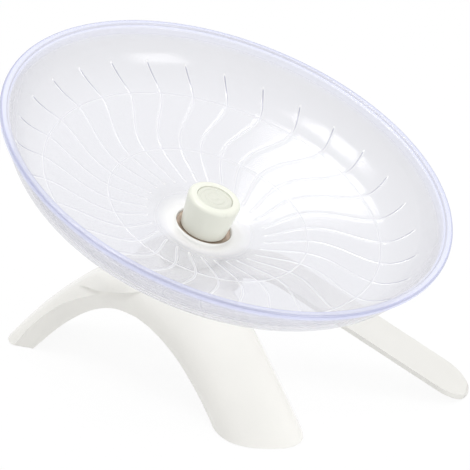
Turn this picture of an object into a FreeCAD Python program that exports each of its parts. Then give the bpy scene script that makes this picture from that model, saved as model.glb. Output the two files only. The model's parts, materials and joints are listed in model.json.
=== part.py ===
import FreeCAD, Part
import math
import os

# Rodent exercise wheel: a clear tilted running dish on two ball bearings,
# carried by a white two-legged arch with a screwed-on third leg.
# Sizes in millimetres, angles in degrees, Z up.

V = FreeCAD.Vector

# Placing of the dish
rim_height = 92.0
tilt_angle = 20.92
tilt_heading = -27.52

# Dish
dish_radius = 90.0
dish_wall = 1.6
lip_width = 2.9
lip_ledge = 1.0
lip_step = 1.1
lip_height = 2.2
lip_round = 0.6
wall_angle = 72.0
floor_angle = 13.5
bend_radius = 20.0
hub_flat_radius = 17.0
hub_floor_depth = 32.4
hub_round = 28.0
hub_pad_radius = 15.0
hub_pad_depth = 35.0
cap_recess_depth = 1.2
cap_recess_gap = 0.8

# Grip ribs on the running surface
rib_count = 30
rib_phase = 3.56
rib_width = 0.9
rib_height = 0.45
rib_root = 0.8
rib_slant = 1.15
rib_inner_radius = 24.0
rib_knee_radius = 33.0
rib_swing_radius = 42.0
rib_straight_radius = 66.0
rib_outer_radius = 80.5
rib_inner_angle = 0.5
rib_knee_angle = 7.0
rib_swing_angle = 9.2
rib_outer_angle = 3.0
ring_outer_radius = 67.8
ring_inner_radius = 40.2
ring_width = 1.0
ring_height = 0.5
ring_draft = 0.2

# Hub cap and its bare inset disc
cap_base_radius = 12.1
cap_top_radius = 10.6
cap_height = 14.0
cap_round = 2.2
cap_roof = 0.64
cap_recess_round = 0.3
disc_radius = 7.0
disc_thickness = 0.5
disc_sink = 0.5
disc_gap = 0.05

# Washer in the dish recess under the cap
seat_washer_thickness = 0.6
seat_washer_gap = 0.2

# Ball bearings
axle_radius = 2.5
bearing_radius = 6.5
bearing_width = 4.0
ball_radius = 1.19
ball_count = 7
ball_clearance = 0.04
shoulder_play = 0.95
shield_thickness = 0.25
shield_sink = 0.15
shield_bite = 0.3
shield_gap = 0.4
cage_thickness = 0.7
cage_width = 2.6
race_chamfer = 0.2

# Hub sleeve that holds both bearings and clamps the dish
sleeve_wall = 1.85
sleeve_lip = 0.5
sleeve_hole_gap = 0.2
sleeve_shoulder = 0.8
sleeve_flange_radius = 12.5
sleeve_flange_thickness = 1.6
snap_height = 0.25
snap_length = 1.6
snap_position = 5.0
snap_gap = 0.05

# Axle stack
axle_fit = 0.02
bearing_spacing = 3.0
spacer_wall = 1.2
washer_thickness = 0.8
washer_radius = 3.6
nut_height = 3.0
nut_flats = 8.0
axle_end = 0.3
thread_end = 0.3
head_height = 3.5
head_flats = 8.0
head_chamfer = 0.5

# Stand boss around the axle
boss_collar_radius = 3.5
boss_collar_height = 0.5
boss_top_radius = 10.4
boss_radius = 11.5
boss_cone_length = 7.0
boss_length = 25.5
boss_foot_radius = 7.5

# Two-legged arch of the stand
crown_height = 47.0
crown_soft = 24.0
left_heading = 159.4
left_reach = 76.8
left_curve = 1.8
left_half_width = 12.6
left_depth = 10.0
left_run = 62.7
left_power = 6.0
front_heading = -66.6
front_reach = 73.3
front_curve = 1.35
front_half_width = 17.4
front_depth = 15.0
front_run = 48.2
front_power = 2.6
front_twist = -40.8
front_sway = -2.8
front_lip = 0.3
power_run = 30.0
arch_bend = 65.0
crown_half_width = 20.0
crown_depth = 13.5
arch_wall = 2.6
arch_overrun = 1.12
arch_sections = 24
section_points = 12
crown_disc_radius = 20.6
crown_disc_thickness = 8.0

# Third leg, a flat strip with a ring that sits over the boss
strip_heading = -13.0
strip_reach = 110.7
strip_width = 21.3
strip_thickness = 1.8
strip_bend_start = 28.0
strip_bend_radius = 22.0
strip_foot_reach = 112.5
ring_plate_radius = 21.0
ring_plate_gap = 0.2
ring_bore_gap = 0.15
peg_radius = 3.0
peg_gap = 0.15
peg_offset = 16.5
peg_sink = 0.5
neck_round = 4.0

# Screws that hold the third leg from below
screw_radius = 1.3
screw_head_radius = 4.2
screw_head_height = 2.0
screw_end = 1.0
screw_slot_width = 0.9
screw_slot_depth = 0.8

# Heights along the dish axis, measured from the rim plane
hub_floor_z = -hub_floor_depth
hub_pad_z = -hub_pad_depth
recess_z = hub_floor_z - cap_recess_depth
cap_base_z = recess_z + seat_washer_thickness
cap_top_z = cap_base_z + cap_height
cap_roof_z = cap_top_z - disc_thickness - disc_sink - cap_roof
axle_end_z = cap_roof_z - axle_end
nut_top_z = axle_end_z - thread_end
nut_base_z = nut_top_z - nut_height
upper_top_z = nut_base_z - washer_thickness
upper_mid_z = upper_top_z - bearing_width / 2
lower_top_z = upper_top_z - bearing_width - bearing_spacing
lower_mid_z = lower_top_z - bearing_width / 2
lower_base_z = lower_top_z - bearing_width
sleeve_base_z = hub_pad_z - sleeve_flange_thickness
sleeve_top_z = upper_top_z + sleeve_lip
sleeve_radius = bearing_radius + sleeve_wall
collar_z = lower_base_z - washer_thickness
boss_top_z = collar_z - boss_collar_height
boss_base_z = boss_top_z - boss_length

# Dish axis in space
sin_tilt = math.sin(math.radians(tilt_angle))
axis_x = sin_tilt * math.cos(math.radians(tilt_heading))
axis_y = sin_tilt * math.sin(math.radians(tilt_heading))
axis_z = math.cos(math.radians(tilt_angle))
axis_dir = V(axis_x, axis_y, axis_z)
rim_centre = V(0, 0, rim_height)
dish_place = FreeCAD.Placement(rim_centre, FreeCAD.Rotation(V(0, 0, 1), axis_dir))
seat_height = crown_height - strip_thickness
crown_point = rim_centre + axis_dir * ((seat_height - rim_height) / axis_z)


def heading(angle):
    """Level unit vector of a compass angle."""
    return V(math.cos(math.radians(angle)), math.sin(math.radians(angle)), 0)


def tilted(shape):
    """Copy of a shape moved from the upright axis onto the dish axis."""
    moved = shape.copy()
    moved.Placement = dish_place.multiply(moved.Placement)
    return moved


def turned(points):
    """Solid of revolution about Z from a closed list of (radius, height)."""
    corners = [V(r, 0, z) for r, z in points]
    outline = Part.makePolygon(corners + [corners[0]])
    return Part.Face(outline).revolve(V(0, 0, 0), V(0, 0, 1), 360)


def tube(inner, outer, low, high, chamfer=0.0):
    """Upright ring with optional outer chamfers."""
    c = chamfer
    if c:
        return turned([(inner, low), (outer - c, low), (outer, low + c),
                       (outer, high - c), (outer - c, high), (inner, high)])
    return turned([(inner, low), (outer, low), (outer, high), (inner, high)])


def ground():
    """Block below the table top, cut off every foot."""
    size = strip_reach * 4
    return Part.makeBox(size, size, size, V(-size / 2, -size / 2, -size))


def hexagon(flats, low, high, chamfer):
    """Hexagon prism with its corners turned off at both ends."""
    corner = flats / math.sqrt(3)
    points = [heading(60 * k) * corner + V(0, 0, low) for k in range(7)]
    prism = Part.Face(Part.makePolygon(points)).extrude(V(0, 0, high - low))
    rise = chamfer * math.tan(math.radians(30))
    turned_off = turned([(0, low), (corner - chamfer, low), (corner, low + rise),
                         (corner, high - rise), (corner - chamfer, high), (0, high)])
    return prism.common(turned_off)


def meet(r1, z1, angle1, r2, z2, angle2):
    """Crossing of two lines in the radius-height plane."""
    c1, s1 = math.cos(math.radians(angle1)), math.sin(math.radians(angle1))
    c2, s2 = math.cos(math.radians(angle2)), math.sin(math.radians(angle2))
    k = ((r2 - r1) * s2 - (z2 - z1) * c2) / (c1 * s2 - s1 * c2)
    return r1 + k * c1, z1 + k * s1


class BowlLine:
    """The dish profile pushed outward by a shift: flat hub, cone, bend and wall."""

    def __init__(self, shift):
        sa, ca = math.sin(math.radians(floor_angle)), math.cos(math.radians(floor_angle))
        sb, cb = math.sin(math.radians(wall_angle)), math.cos(math.radians(wall_angle))
        self.cone_r = hub_flat_radius + shift * sa
        self.cone_z = hub_floor_z - shift * ca
        top_r = dish_radius - lip_width - lip_ledge + shift * sb
        top_z = -lip_step - shift * cb
        self.flat_z = hub_floor_z - shift
        self.wall_r = top_r
        self.wall_z = top_z
        self.foot_r = meet(0, self.flat_z, 0, self.cone_r, self.cone_z, floor_angle)[0]
        corner_r, corner_z = meet(self.cone_r, self.cone_z, floor_angle, top_r, top_z, wall_angle)
        radius = bend_radius + shift
        run = radius * math.tan(math.radians((wall_angle - floor_angle) / 2))
        self.low = V(corner_r - run * ca, 0, corner_z - run * sa)
        self.high = V(corner_r + run * cb, 0, corner_z + run * sb)
        self.centre = self.low + V(-sa, 0, ca) * radius
        mid_angle = math.radians((wall_angle + floor_angle) / 2)
        self.mid = self.centre + V(math.sin(mid_angle), 0, -math.cos(mid_angle)) * radius

    def wall_at(self, z):
        """Point of the wall line at a height."""
        return V(self.wall_r + (z - self.wall_z) / math.tan(math.radians(wall_angle)), 0, z)

    def cone_at(self, r):
        """Point of the cone line at a radius."""
        return V(r, 0, self.cone_z + (r - self.cone_r) * math.tan(math.radians(floor_angle)))

    def edges(self, start, end):
        """Cone, bend and wall from a start point to an end point."""
        return [Part.makeLine(start, self.low), Part.Arc(self.low, self.mid, self.high).toShape(),
                Part.makeLine(self.high, end)]


def chain(points):
    """Straight edges through a list of points."""
    return [Part.makeLine(points[k], points[k + 1]) for k in range(len(points) - 1)]


def revolve_edges(edges):
    """Solid of revolution about Z from a closed set of edges."""
    outline = Part.Wire(Part.__sortEdges__(edges))
    return Part.Face(outline).revolve(V(0, 0, 0), V(0, 0, 1), 360)


def rounded_edges(solid, radius, wanted):
    """Fillet the circular edges for which wanted(edge) holds."""
    return solid.makeFillet(radius, [e for e in solid.Edges if wanted(e)])


def make_saucer():
    """Clear dish with lip, two ring ribs and the swung grip ribs."""
    inner = BowlLine(0.0)
    outer = BowlLine(dish_wall)
    hole = sleeve_radius + sleeve_hole_gap
    recess = cap_base_radius + cap_recess_gap
    lip_in = dish_radius - lip_width
    start_in = V(inner.foot_r, 0, inner.flat_z)
    end_in = inner.wall_at(-lip_step)
    start_out = V(outer.foot_r, 0, outer.flat_z)
    end_out = outer.wall_at(-lip_height)
    hub_top = [V(hole, 0, recess_z), V(recess, 0, recess_z), V(recess, 0, hub_floor_z), start_in]
    lip = [end_in, V(lip_in, 0, -lip_step), V(lip_in, 0, 0), V(dish_radius, 0, 0),
           V(dish_radius, 0, -lip_height), end_out]
    hub_low = [start_out, V(hub_pad_radius, 0, outer.flat_z), V(hub_pad_radius, 0, hub_pad_z),
               V(hole, 0, hub_pad_z), V(hole, 0, recess_z)]
    bowl = revolve_edges(chain(hub_top) + inner.edges(start_in, end_in) + chain(lip)
                         + outer.edges(start_out, end_out) + chain(hub_low))

    def lip_edge(edge):
        box = edge.BoundBox
        flat = box.ZLength < 0.01 and len(edge.Vertexes) == 1
        return flat and box.XMax > lip_in - 0.01 and box.ZMin > -lip_height - 0.01 and (
            box.ZMin > -0.01 or box.XMax > dish_radius - 0.01)

    def hub_edge(edge):
        box = edge.BoundBox
        at_floor = abs(box.ZMin - hub_floor_z) + box.ZLength < 0.01
        return at_floor and abs(box.XMax - inner.foot_r) < 0.01

    bowl = rounded_edges(bowl, lip_round, lip_edge)
    bowl = rounded_edges(bowl, hub_round, hub_edge)
    slab_top = BowlLine(-rib_height)
    slab_low = BowlLine(rib_root)
    near = (hub_flat_radius + rib_inner_radius) / 2
    far = -lip_height - dish_wall
    slab = revolve_edges(slab_top.edges(slab_top.cone_at(near), slab_top.wall_at(far))
                         + chain([slab_top.wall_at(far), slab_low.wall_at(far)])
                         + slab_low.edges(slab_low.cone_at(near), slab_low.wall_at(far))
                         + chain([slab_low.cone_at(near), slab_top.cone_at(near)]))
    ribs = slab.common(Part.makeCompound(rib_prisms())).Solids
    rings = [ring_rib(ring_outer_radius), ring_rib(ring_inner_radius)]
    return bowl.multiFuse(rings + ribs)


def ring_rib(radius):
    """Circular grip rib on the cone of the dish."""
    top = BowlLine(-ring_height)
    low = BowlLine(rib_root)
    a, b = radius - ring_width / 2, radius + ring_width / 2
    corners = [low.cone_at(a), low.cone_at(b), top.cone_at(b - ring_draft), top.cone_at(a + ring_draft)]
    return turned([(p.x, p.z) for p in corners])


def rib_prisms():
    """Upright walls on the S-shaped plan line of the grip ribs, one for each rib."""
    stations = [(rib_inner_radius, rib_inner_angle), (rib_knee_radius, rib_knee_angle),
                (rib_swing_radius, rib_swing_angle), (rib_straight_radius, 0.0),
                (rib_outer_radius, rib_outer_angle)]
    sides = []
    for side in (-1, 1):
        points = []
        for radius, angle in stations:
            shift = side * math.degrees(rib_width / 2 / radius) * rib_slant
            points.append(heading(angle + shift) * radius + V(0, 0, -hub_pad_depth))
        curve = Part.BSplineCurve()
        curve.interpolate(points)
        sides.append(curve.toShape())
    first, second = sides
    ends = [Part.makeLine(first.Vertexes[0].Point, second.Vertexes[0].Point),
            Part.makeLine(first.Vertexes[-1].Point, second.Vertexes[-1].Point)]
    plan = Part.Face(Part.Wire(Part.__sortEdges__([first, second] + ends)))
    prism = plan.extrude(V(0, 0, hub_pad_depth))
    prisms = []
    for k in range(rib_count):
        copy = prism.copy()
        copy.rotate(V(0, 0, 0), V(0, 0, 1), rib_phase + 360.0 * k / rib_count)
        prisms.append(copy)
    return prisms


def make_cap():
    """Hub cap: slightly tapered cup with a rounded crown and a sunk round face."""
    recess = disc_radius + disc_gap
    floor = cap_top_z - disc_sink - disc_thickness
    snap_z = sleeve_top_z - snap_position
    bore = sleeve_radius
    points = [(bore, cap_base_z), (cap_base_radius, cap_base_z), (cap_top_radius, cap_top_z),
              (recess, cap_top_z), (recess, floor), (0, floor), (0, cap_roof_z),
              (bore, cap_roof_z), (bore, snap_z + snap_length / 2),
              (bore + snap_height + snap_gap, snap_z), (bore, snap_z - snap_length / 2)]
    cap = turned(points)

    def crown_edge(edge):
        box = edge.BoundBox
        return box.ZLength < 0.01 and abs(box.XMax - cap_top_radius) < 0.01 and box.ZMin > cap_top_z - 0.01

    cap = rounded_edges(cap, cap_round, crown_edge)

    def rim_edge(edge):
        box = edge.BoundBox
        return box.ZLength < 0.01 and abs(box.XMax - recess) < 0.01 and box.ZMin > cap_top_z - 0.01

    return rounded_edges(cap, cap_recess_round, rim_edge)


def make_disc():
    """Bare round inset in the cap."""
    top = cap_top_z - disc_sink
    return tube(0, disc_radius, top - disc_thickness, top).removeSplitter()


def make_sleeve():
    """Bearing sleeve: flange under the dish, two bearing seats and a snap bead for the cap."""
    snap_z = sleeve_top_z - snap_position
    bore = bearing_radius
    neck = bearing_radius - sleeve_shoulder
    flange_top = sleeve_base_z + sleeve_flange_thickness
    return turned([(bore, sleeve_base_z), (sleeve_flange_radius, sleeve_base_z),
                   (sleeve_flange_radius, flange_top), (sleeve_radius, flange_top),
                   (sleeve_radius, snap_z - snap_length / 2), (sleeve_radius + snap_height, snap_z),
                   (sleeve_radius, snap_z + snap_length / 2), (sleeve_radius, sleeve_top_z),
                   (bore, sleeve_top_z), (bore, upper_top_z - bearing_width),
                   (neck, upper_top_z - bearing_width), (neck, lower_top_z), (bore, lower_top_z)])


def make_bearing(mid):
    """Outer race, inner race, balls, cage and shields of one ball bearing."""
    half = bearing_width / 2
    low, high = mid - half, mid + half
    pitch = (axle_radius + bearing_radius) / 2
    groove = Part.makeTorus(pitch, ball_radius + ball_clearance, V(0, 0, mid), V(0, 0, 1))
    inner = tube(axle_radius, pitch - shoulder_play, low, high, race_chamfer).cut(groove)
    shoulder = pitch + shoulder_play
    step = shoulder + shield_bite
    depth = shield_sink + shield_thickness
    c = race_chamfer
    outer = turned([(step, low), (bearing_radius - c, low), (bearing_radius, low + c),
                    (bearing_radius, high - c), (bearing_radius - c, high), (step, high),
                    (step, high - depth), (shoulder, high - depth), (shoulder, low + depth),
                    (step, low + depth)]).cut(groove)
    spots = [heading(360.0 * k / ball_count) * pitch + V(0, 0, mid) for k in range(ball_count)]
    balls = [Part.makeSphere(ball_radius, spot) for spot in spots]
    ring = tube(pitch - cage_thickness / 2, pitch + cage_thickness / 2,
                mid - cage_width / 2, mid + cage_width / 2)
    cage = ring.cut(Part.makeCompound(balls))
    bore = pitch - shoulder_play + shield_gap
    shields = [tube(bore, step, high - depth, high - shield_sink),
               tube(bore, step, low + shield_sink, low + depth)]
    return outer, inner, Part.makeCompound(balls), cage, Part.makeCompound(shields)


def make_axle():
    """Steel axle bolt with a hexagon head under the boss."""
    shank = tube(0, axle_radius - axle_fit, boss_base_z, axle_end_z, head_chamfer).removeSplitter()
    head = hexagon(head_flats, boss_base_z - head_height, boss_base_z, head_chamfer)
    return head.fuse(shank).removeSplitter()


def make_nut():
    """Hexagon nut on the axle end."""
    nut = hexagon(nut_flats, nut_base_z, nut_top_z, head_chamfer)
    return nut.cut(Part.makeCylinder(axle_radius - axle_fit, nut_height, V(0, 0, nut_base_z)))


def make_boss():
    """Round boss of the stand on the dish axis, with a collar for the lower bearing."""
    cone_z = boss_top_z - boss_cone_length
    return turned([(0, boss_base_z), (boss_foot_radius, boss_base_z),
                   (boss_radius, boss_base_z + boss_radius - boss_foot_radius), (boss_radius, cone_z),
                   (boss_top_radius, boss_top_z), (boss_collar_radius, boss_top_z),
                   (boss_collar_radius, collar_z), (0, collar_z)])


def eased(share):
    """Smooth step from 0 to 1."""
    t = min(1.0, share)
    return t * t * (3 - 2 * t)


def swayed(share):
    """Sideways bow of the front leg, 1 at two thirds of its reach."""
    peak = (2 / 3) ** 2 * (1 - 2 / 3)
    return share * share * (1 - share) / peak


def fallen(far, curve):
    """Drop of the ridge at a level distance, level at the crown and steeper further out."""
    return (far * far + crown_soft * crown_soft) ** (curve / 2) - crown_soft ** curve


def arch_ridge(u):
    """Ridge of the arch at a signed level distance: left leg negative, front leg positive."""
    left, front = heading(left_heading), heading(front_heading)
    if u < -arch_bend:
        flat = left * -u
    elif u > arch_bend:
        flat = front * u
    else:
        t = (u + arch_bend) / (2 * arch_bend)
        flat = left * (arch_bend * (1 - t) ** 2) + front * (arch_bend * t ** 2)
    reach, curve = (left_reach, left_curve) if u < 0 else (front_reach, front_curve)
    if u > 0:
        flat += heading(front_heading + 90) * front_sway * swayed(u / front_reach)
    rise = crown_height * (1 - fallen(u, curve) / fallen(reach, curve))
    return V(crown_point.x, crown_point.y, rise) + flat


def gutter(u):
    """Open gutter section of the arch: boxy on the left leg, round on the front leg."""
    point = arch_ridge(u)
    along = (arch_ridge(u + 1.0) - arch_ridge(u - 1.0)).normalize()
    blend = eased(abs(u) / (left_run if u < 0 else front_run))
    leg_half, leg_depth = (left_half_width, left_depth) if u < 0 else (front_half_width, front_depth)
    half_width = crown_half_width + (leg_half - crown_half_width) * blend
    depth = crown_depth + (leg_depth - crown_depth) * blend
    side = along.cross(V(0, 0, 1)).normalize()
    if u > 0:
        side = FreeCAD.Rotation(V(0, 0, 1), front_twist * eased(u / front_reach)).multVec(side)
    up = side.cross(along).normalize()
    to_front = min(1.0, max(0.0, (u / power_run + 1) / 2))
    power = left_power + (front_power - left_power) * to_front
    lip = math.asin((front_lip * blend) ** (power / 2)) if u > 0 else 0.0

    def arc(half, drop):
        points = []
        for k in range(section_points + 1):
            angle = lip + (math.pi - lip) * k / section_points
            c, s = math.cos(angle), math.sin(angle)
            w = half * math.copysign(abs(c) ** (2 / power), c)
            n = drop * abs(s) ** (2 / power) - depth
            points.append(point + side * w + up * n)
        curve = Part.BSplineCurve()
        curve.interpolate(points)
        return curve.toShape()

    out = arc(half_width, depth)
    hollow = arc(half_width - arch_wall, depth - arch_wall)
    ends = [Part.makeLine(out.Vertexes[-1].Point, hollow.Vertexes[-1].Point),
            Part.makeLine(hollow.Vertexes[0].Point, out.Vertexes[0].Point)]
    return Part.Wire([out, ends[0], hollow, ends[1]])


def make_arch():
    """Two-legged arch: gutter swept over the crown, seat disc and boss."""
    base = V(crown_point.x, crown_point.y, 0)
    start, stop = -left_reach * arch_overrun, front_reach * arch_overrun
    steps = [start + (stop - start) * k / arch_sections for k in range(arch_sections + 1)]
    sections = [gutter(u) for u in steps]
    body = Part.makeLoft(sections, True, False)
    seat_base = V(base.x, base.y, seat_height - crown_disc_thickness)
    body = body.fuse(Part.makeCylinder(crown_disc_radius, crown_disc_thickness, seat_base))
    seat = V(base.x, base.y, seat_height)
    body = body.cut(Part.makeCylinder(ring_plate_radius + ring_plate_gap, crown_height, seat))
    body = body.fuse(tilted(make_boss()))
    body = body.cut(tilted(Part.makeCylinder(axle_radius - axle_fit, rim_height, V(0, 0, -rim_height))))
    for angle in (left_heading, front_heading):
        spot = seat_base + heading(angle) * peg_offset
        body = body.cut(Part.makeCylinder(peg_radius + peg_gap, crown_disc_thickness, spot))
    return body.cut(ground()).removeSplitter()


def make_strip():
    """Third leg: ring plate over the boss, bent strip and rounded tip."""
    base = V(crown_point.x, crown_point.y, 0)
    ring = Part.makeCylinder(ring_plate_radius, strip_thickness, V(base.x, base.y, seat_height))
    run = strip_foot_reach - strip_bend_start
    slope = math.atan2(crown_height, run)
    for step in range(20):
        turn = strip_bend_radius * math.tan(slope / 2)
        slope = math.atan2(crown_height, run - turn)
    tip = strip_reach + strip_width

    def profile(inset):
        radius = strip_bend_radius - inset
        z = crown_height - inset
        centre_z = crown_height - strip_bend_radius
        a = V(0, 0, z)
        b = V(strip_bend_start, 0, z)
        mid = V(strip_bend_start + radius * math.sin(slope / 2), 0, centre_z + radius * math.cos(slope / 2))
        c = V(strip_bend_start + radius * math.sin(slope), 0, centre_z + radius * math.cos(slope))
        d = V(tip, 0, c.z - (tip - c.x) * math.tan(slope))
        return [a, b, mid, c, d]

    top = profile(0.0)
    low = profile(strip_thickness)
    edges = []
    for line in (top, low):
        edges.append(Part.makeLine(line[0], line[1]))
        edges.append(Part.Arc(line[1], line[2], line[3]).toShape())
        edges.append(Part.makeLine(line[3], line[4]))
    edges.append(Part.makeLine(top[0], low[0]))
    edges.append(Part.makeLine(top[4], low[4]))
    face = Part.Face(Part.Wire(Part.__sortEdges__(edges)))
    face.translate(V(0, -strip_width / 2, 0))
    band = face.extrude(V(0, strip_width, 0))
    half = strip_width / 2
    plan = Part.makeBox(strip_reach - half, strip_width, crown_height * 2, V(0, -half, -half))
    plan = plan.fuse(Part.makeCylinder(half, crown_height * 2, V(strip_reach - half, 0, -half)))
    band = band.common(plan)
    band.rotate(V(0, 0, 0), V(0, 0, 1), strip_heading)
    band.translate(base)
    leg = ring.fuse(band).removeSplitter()

    def neck_edge(edge):
        box = edge.BoundBox
        upright = box.ZLength > strip_thickness - 0.1 and box.XLength + box.YLength < 0.1
        out = (edge.CenterOfMass - base).dot(heading(strip_heading))
        return upright and 0 < out < ring_plate_radius

    leg = rounded_edges(leg, neck_round, neck_edge)
    for angle in (left_heading, front_heading):
        spot = V(base.x, base.y, seat_height - crown_disc_thickness + peg_sink) + heading(angle) * peg_offset
        leg = leg.fuse(Part.makeCylinder(peg_radius, crown_disc_thickness - peg_sink, spot))
        leg = leg.cut(Part.makeCylinder(screw_radius, crown_disc_thickness - peg_sink + screw_end, spot))
    bore = tilted(Part.makeCylinder(boss_radius + ring_bore_gap, rim_height, V(0, 0, -rim_height)))
    leg = leg.cut(bore)
    return leg.cut(ground()).removeSplitter()


def make_screws():
    """Two slotted screws that pull the third leg's pegs into the crown."""
    screws = []
    for angle in (left_heading, front_heading):
        under = seat_height - crown_disc_thickness
        spot = V(crown_point.x, crown_point.y, 0) + heading(angle) * peg_offset
        length = crown_disc_thickness + screw_end
        shank = Part.makeCylinder(screw_radius, length, V(spot.x, spot.y, under))
        head_spot = V(spot.x, spot.y, under - screw_head_height)
        head = Part.makeCylinder(screw_head_radius, screw_head_height, head_spot)
        slot = Part.makeBox(screw_head_radius * 2, screw_slot_width, screw_slot_depth,
                            head_spot + V(-screw_head_radius, -screw_slot_width / 2, 0))
        screws.append(head.fuse(shank).cut(slot).removeSplitter())
    return Part.makeCompound(screws)


parts = {}
parts["saucer"] = tilted(make_saucer())
parts["hub_cap"] = tilted(make_cap())
parts["cap_disc"] = tilted(make_disc())
parts["hub_sleeve"] = tilted(make_sleeve())
washer_outer = cap_base_radius + cap_recess_gap - seat_washer_gap
parts["seat_washer"] = tilted(tube(sleeve_radius, washer_outer, recess_z, cap_base_z))
for name, mid in (("upper", upper_mid_z), ("lower", lower_mid_z)):
    outer, inner, balls, cage, shields = make_bearing(mid)
    parts[name + "_outer_race"] = tilted(outer)
    parts[name + "_inner_race"] = tilted(inner)
    parts[name + "_balls"] = tilted(balls)
    parts[name + "_cage"] = tilted(cage)
    parts[name + "_shields"] = tilted(shields)
parts["bearing_spacer"] = tilted(tube(axle_radius, axle_radius + spacer_wall, lower_top_z,
                                      lower_top_z + bearing_spacing))
parts["axle_bolt"] = tilted(make_axle())
parts["axle_nut"] = tilted(make_nut())
parts["upper_washer"] = tilted(tube(axle_radius, washer_radius, upper_top_z, nut_base_z))
parts["lower_washer"] = tilted(tube(axle_radius, washer_radius, collar_z, lower_base_z))
parts["stand_arch"] = make_arch()
parts["strip_leg"] = make_strip()
parts["leg_screws"] = make_screws()

# The origin goes under the middle of the whole object
boxes = [shape.optimalBoundingBox(False, False) for shape in parts.values()]
middle_x = (min(b.XMin for b in boxes) + max(b.XMax for b in boxes)) / 2
middle_y = (min(b.YMin for b in boxes) + max(b.YMax for b in boxes)) / 2
shift = V(-middle_x, -middle_y, 0)
os.makedirs("parts", exist_ok=True)
for name, shape in parts.items():
    shape.translate(shift)
    shape.exportStep("parts/" + name + ".step")
    print(name, shape.isValid(), len(shape.Solids), round(shape.Volume, 1))
print("origin shift", round(middle_x, 4), round(middle_y, 4))
print("axis point", rim_centre + shift, "direction", axis_dir)
print("axis heights", cap_top_z, upper_mid_z, lower_mid_z, boss_top_z, boss_base_z)
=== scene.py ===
import json
import math

import bmesh
import bpy
import numpy as np
from bpy.props import FloatProperty, FloatVectorProperty, IntProperty, PointerProperty
from mathutils import Matrix, Vector


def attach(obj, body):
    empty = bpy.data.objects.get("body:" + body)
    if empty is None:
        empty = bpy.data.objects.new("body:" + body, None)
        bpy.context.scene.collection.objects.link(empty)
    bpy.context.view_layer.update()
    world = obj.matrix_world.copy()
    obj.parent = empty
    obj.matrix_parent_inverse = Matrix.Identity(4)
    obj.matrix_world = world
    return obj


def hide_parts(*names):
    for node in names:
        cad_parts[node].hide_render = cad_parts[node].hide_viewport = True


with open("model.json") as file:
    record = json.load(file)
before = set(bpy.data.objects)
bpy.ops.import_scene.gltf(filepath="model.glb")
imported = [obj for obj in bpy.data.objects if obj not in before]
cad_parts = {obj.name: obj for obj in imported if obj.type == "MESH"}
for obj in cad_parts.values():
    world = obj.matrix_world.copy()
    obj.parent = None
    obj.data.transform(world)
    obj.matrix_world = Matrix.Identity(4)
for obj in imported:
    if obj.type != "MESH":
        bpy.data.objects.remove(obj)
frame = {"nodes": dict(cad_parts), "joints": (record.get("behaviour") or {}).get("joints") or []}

bl_info = {
    "name": "Rodent Running Dish",
    "version": (1, 0, 0),
    "blender": (4, 5, 0),
    "location": "View3D > Sidebar > Running Dish",
    "description": "Clear tilted running dish on a white three-legged stand",
    "category": "Object",
}

MM = 0.001
UP = Vector((0, 0, 1))

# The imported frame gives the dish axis, and from it the middle of the rim
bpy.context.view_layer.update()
SPIN = next(j for j in frame["joints"] if j["name"] == "dish_spin")
AXIS = Vector(SPIN["axis"]).normalized()
BEARING_DEPTH = 0.02704
RIM_CENTRE = Vector(SPIN["pos_m"]) + AXIS * BEARING_DEPTH
TURN = UP.rotation_difference(AXIS)
DISH_PLACE = Matrix.Translation(RIM_CENTRE) @ TURN.to_matrix().to_4x4()

# Bands of the clear plastic, in metres: distance from the dish axis, and for the crest height over the rim
# plane
LIP_BAND = (0.0858, 0.087)
CREST_BAND = (-0.0011, -0.0005)
OUTER_LINE = (0.0889, 0.0894)
INNER_LINE_START = (0.0866, 0.087)
INNER_LINE_END = (0.0874, 0.0878)
# Round the hub the plastic is painted white: a painted highlight of the hub's rounded rise
HUB_GLOW_BAND = (0.0125, 0.021)
WALL_BAND = (0.066, 0.078)

# Ribs, in millimetres: a grip rib's swing in degrees at stations from the axis, its ends and its cross
# section, and the same for the ring ribs
RIB_STATIONS = (24.0, 33.0, 42.0, 66.0, 80.5)
RIB_SWING = (0.5, 7.0, 9.2, 0.0, 3.0)
RIB_START, RIB_END, RIB_TAPER = 23.6, 80.9, 1.2
RIB_PHASE = math.radians(3.56)
RIB_ACROSS = (-0.85, -0.52, -0.36, -0.18, 0.0, 0.18, 0.36, 0.52, 0.85)
RIB_HALF_WIDTH = 0.7
RING_RADII = (40.2, 67.8)
RING_ACROSS = (-0.8, -0.55, -0.4, -0.2, 0.0, 0.2, 0.4, 0.55, 0.8)
RING_HALF_WIDTH = 0.6
BETWEEN_BEFORE, BETWEEN_AFTER = (0.0, 0.36, 0.7), (0.3, 0.64, 1.0)

# Ledge on the near side of the stand's crown: a point, its plane, its run and the ranges over which it fades
LEDGE_POINT = Vector((-0.04823, -0.0045, 0.03784))
LEDGE_NORMAL = Vector((-0.285, 0.1554, 0.9458))
LEDGE_RUN = Vector((0.73, -0.683, 0.0))
LEDGE_SIDE = Vector((0.683, 0.73, 0.0))
LEDGE_HEIGHT = 0.0007
LEDGE_CUTS = (-0.004, -0.003, -0.002, -0.0012, -0.0007, -0.0003, 0.0,
              0.0003, 0.001, 0.002, 0.0035, 0.005, 0.007)
LEDGE_ZONE_RISE, LEDGE_ZONE_ALONG, LEDGE_ZONE_ACROSS = 0.012, 0.034, 0.012
LEDGE_STEP = (-0.0003, 0.0)
LEDGE_CREST_END = (0.0005, 0.007)
LEDGE_HOLLOW_START = (-0.004, -0.0007)
LEDGE_HOLLOW_DEPTH = 0.7
LEDGE_LEFT_END = (-0.021, -0.012)
LEDGE_RIGHT_END = (0.01, 0.022)
LEDGE_FAR_END = (0.004, 0.01)

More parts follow.
